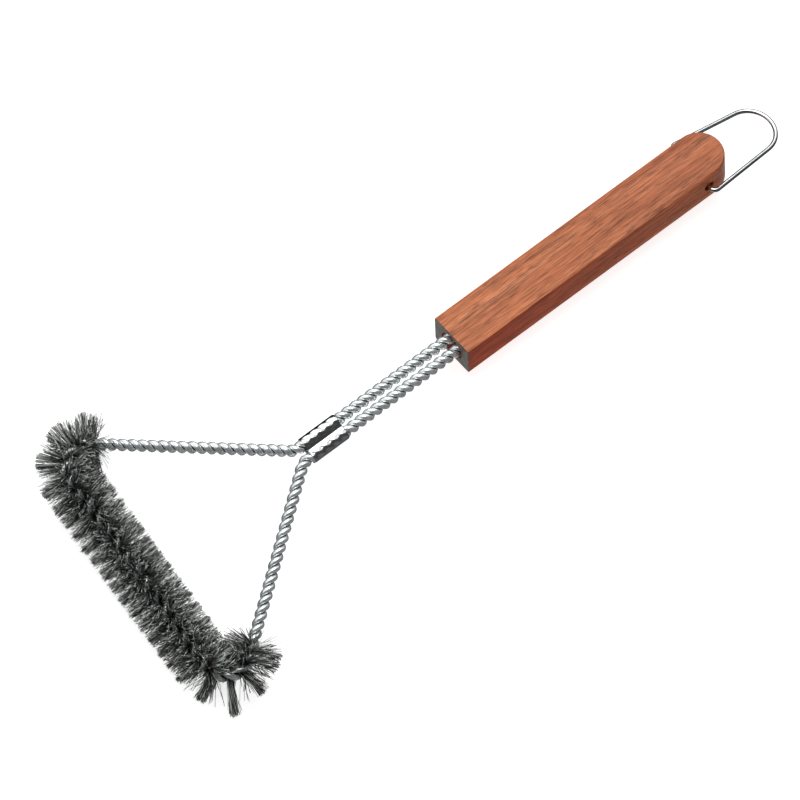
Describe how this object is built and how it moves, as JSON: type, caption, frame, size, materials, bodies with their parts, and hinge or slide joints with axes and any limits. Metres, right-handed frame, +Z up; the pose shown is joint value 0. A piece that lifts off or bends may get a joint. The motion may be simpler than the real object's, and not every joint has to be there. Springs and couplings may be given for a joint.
{
  "type": "grill cleaning brush",
  "caption": "Triangular grill brush: steel bristles held in a twisted wire rope, crimped ferrule, wooden handle and a swinging wire hanging loop.",
  "frame": {"origin": "centre of the bounding box on the surface the brush lies on", "axes": "+X from the bristles to the hanging loop along the handle, +Z up out of the level wire head"},
  "size_m": [0.4636, 0.1846, 0.035],
  "materials": {
    "wood": "reddish-brown lacquered hardwood, satin, fine dark pores along the handle",
    "wire": "drawn galvanised wire, satin",
    "ferrule": "bright plated sheet",
    "bristles": "fine dark drawn steel filaments",
    "loop": "bright plated wire",
    "adhesive": "cured adhesive"
  },
  "bodies": {
    "brush": {"handle": "wood", "adhesive_plug": "adhesive", "wire_a": "wire", "wire_b": "wire", "ferrule": "ferrule", "bristles_leg_left": "bristles", "bristles_corner_left": "bristles", "bristles_base_1": "bristles", "bristles_base_2": "bristles", "bristles_base_3": "bristles", "bristles_base_4": "bristles", "bristles_base_5": "bristles", "bristles_base_6": "bristles", "bristles_corner_right": "bristles", "bristles_leg_right": "bristles"},
    "loop": {"hanging_loop": "loop"}
  },
  "joints": [
    {"name": "loop_swing", "type": "hinge", "parent": "brush", "child": "loop", "pos_m": [0.17592, 0, 0.0175], "axis": [0, 0.9135, -0.4067], "range_deg": [-110, 110]}
  ]
}
